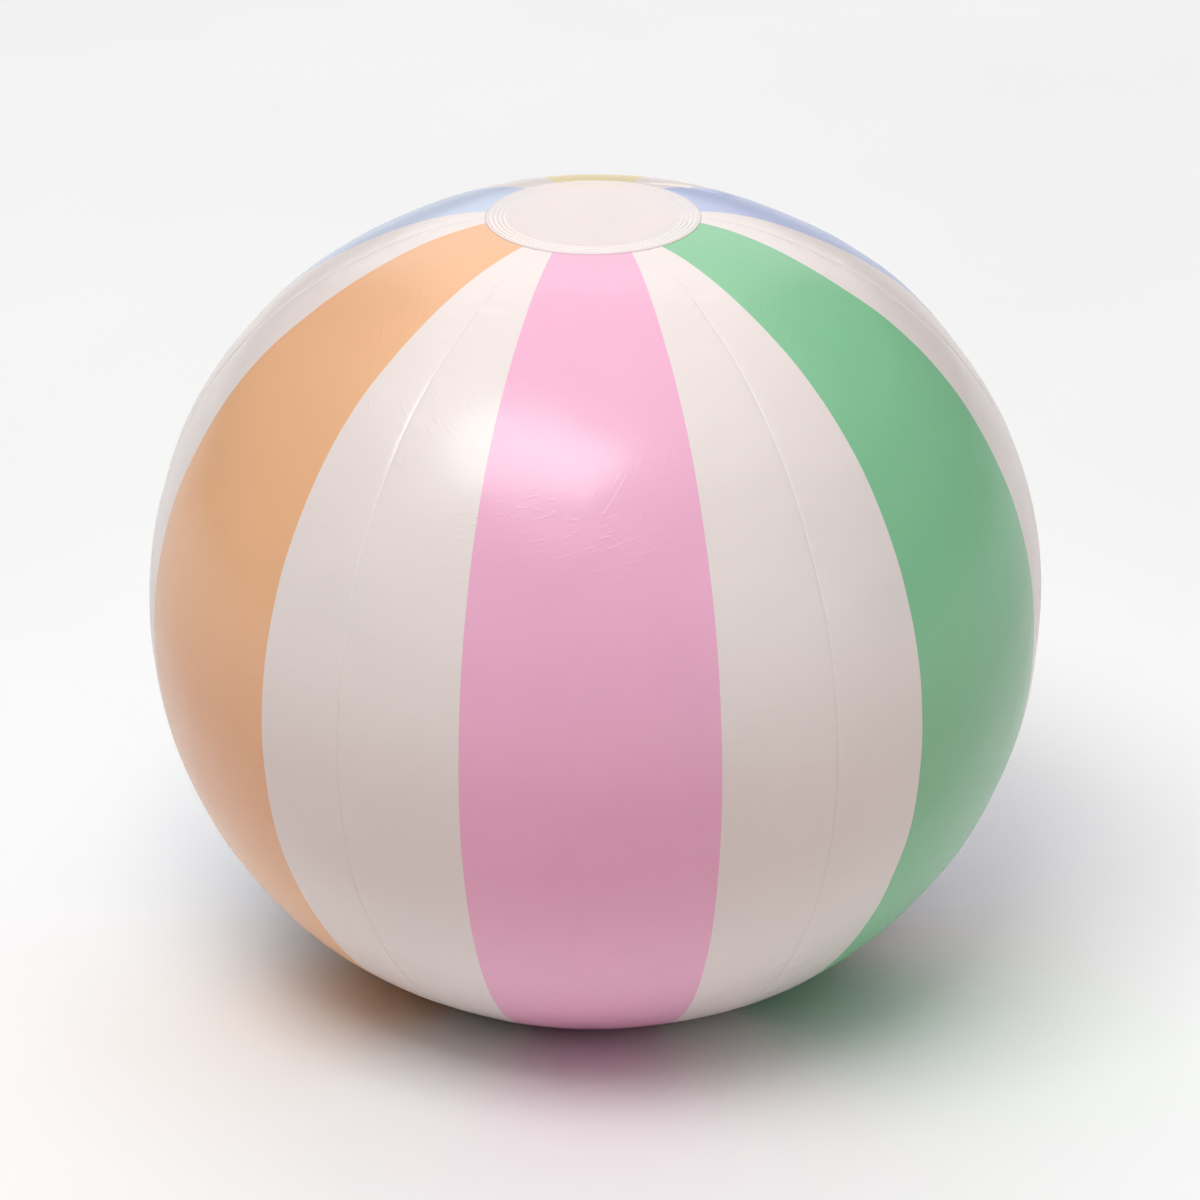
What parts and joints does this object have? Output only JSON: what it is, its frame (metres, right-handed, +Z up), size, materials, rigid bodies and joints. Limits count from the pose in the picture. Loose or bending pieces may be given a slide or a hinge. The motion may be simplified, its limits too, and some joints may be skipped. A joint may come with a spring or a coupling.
{
  "type": "inflatable beach ball",
  "caption": "Round inflatable beach ball with pastel stripes on white, flat pole caps, inner weld seams and a push-in air valve with a hinged plug.",
  "frame": {"origin": "on the floor under the middle of the lower cap", "axes": "+Z up through both caps, -Y towards the front (pink) stripe, +X to the right of someone facing that stripe, valve on the +Y side"},
  "size_m": [0.4, 0.4, 0.3544],
  "materials": {
    "film_pink": "satin vinyl film printed with a pink stripe on white",
    "film_green": "satin vinyl film printed with a green stripe on white",
    "film_periwinkle": "satin vinyl film printed with a periwinkle stripe on white",
    "film_yellow": "satin vinyl film printed with a pale yellow stripe on white",
    "film_sky": "satin vinyl film printed with a sky blue stripe on white",
    "film_peach": "satin vinyl film printed with a peach stripe on white",
    "cap_film": "satin white vinyl film",
    "valve_vinyl": "soft clear-white moulded vinyl",
    "plug_vinyl": "soft clear-white moulded vinyl"
  },
  "bodies": {
    "skin": {"gore_pink": "film_pink", "gore_green": "film_green", "gore_periwinkle": "film_periwinkle", "gore_yellow": "film_yellow", "gore_sky": "film_sky", "gore_peach": "film_peach", "top_cap": "cap_film", "bottom_cap": "cap_film", "valve_flange": "valve_vinyl", "valve_boot": "valve_vinyl"},
    "stem": {"valve_stem": "valve_vinyl"},
    "plug": {"valve_plug": "plug_vinyl"},
    "flap": {"check_flap": "valve_vinyl"}
  },
  "joints": [
    {"name": "stem_slide", "type": "slide", "parent": "skin", "child": "stem", "axis": [0, 0.766, 0.6428], "range_m": [0, 0.012], "deforming": ["valve_boot"]},
    {"name": "plug_hinge", "type": "hinge", "parent": "stem", "child": "plug", "pos_m": [0, 0.16198, 0.28418], "axis": [-1, 0, 0], "range_deg": [0, 135]},
    {"name": "flap_hinge", "type": "hinge", "parent": "stem", "child": "flap", "pos_m": [0, 0.14696, 0.27393], "axis": [1, 0, 0], "range_deg": [0, 60], "stiffness_Nm_per_rad": 0.00002, "springref_deg": -17.19}
  ]
}
